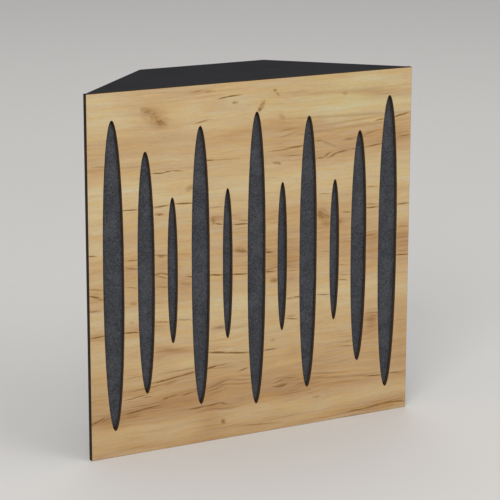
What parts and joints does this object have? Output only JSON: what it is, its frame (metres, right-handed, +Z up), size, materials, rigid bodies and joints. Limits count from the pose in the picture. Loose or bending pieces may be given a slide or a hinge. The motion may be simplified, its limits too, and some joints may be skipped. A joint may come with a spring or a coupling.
{
  "type": "corner bass trap",
  "caption": "Square oak laminate front with lens-shaped slots on a shallow graphite cabinet with 45 degree sides, filled with foam and wool.",
  "frame": {"origin": "middle of the box that holds the part, seen from above, at the height of the floor", "axes": "+X along the front panel, +Y from the panel back into the room corner, +Z up"},
  "size_m": [0.5, 0.156, 0.5],
  "materials": {
    "oak_laminate": "satin golden oak laminate, grain lying flat, scorched dark edges",
    "graphite_laminate": "fine matt graphite laminate",
    "pine": "planed pine",
    "graphite_foam": "open-cell foam, matt",
    "mineral_wool": "fibrous, matt",
    "beech": "fluted beech",
    "black_steel": "black phosphated steel"
  },
  "bodies": {
    "root": {"front_panel": "oak_laminate", "top_board": "graphite_laminate", "bottom_board": "graphite_laminate", "left_side_board": "graphite_laminate", "right_side_board": "graphite_laminate", "back_board": "graphite_laminate", "top_front_rail": "pine", "top_right_rail": "pine", "top_left_rail": "pine", "top_rear_rail": "pine", "bottom_front_rail": "pine", "bottom_right_rail": "pine", "bottom_left_rail": "pine", "bottom_rear_rail": "pine", "right_rear_post": "pine", "left_rear_post": "pine", "slot_foam": "graphite_foam", "absorber_slab_1": "mineral_wool", "absorber_slab_2": "mineral_wool", "front_dowel_1": "beech", "front_dowel_2": "beech", "front_dowel_3": "beech", "front_dowel_4": "beech", "front_dowel_5": "beech", "front_dowel_6": "beech", "rail_screw_1": "black_steel", "rail_screw_2": "black_steel", "rail_screw_3": "black_steel", "rail_screw_4": "black_steel", "rail_screw_5": "black_steel", "rail_screw_6": "black_steel", "rail_screw_7": "black_steel", "rail_screw_8": "black_steel", "rail_screw_9": "black_steel", "rail_screw_10": "black_steel", "rail_screw_11": "black_steel", "rail_screw_12": "black_steel", "rail_screw_13": "black_steel", "rail_screw_14": "black_steel", "rail_screw_15": "black_steel", "rail_screw_16": "black_steel", "back_screw_1": "black_steel", "back_screw_2": "black_steel", "back_screw_3": "black_steel", "back_screw_4": "black_steel", "back_screw_5": "black_steel", "back_screw_6": "black_steel", "back_screw_7": "black_steel", "back_screw_8": "black_steel"}
  },
  "joints": []
}
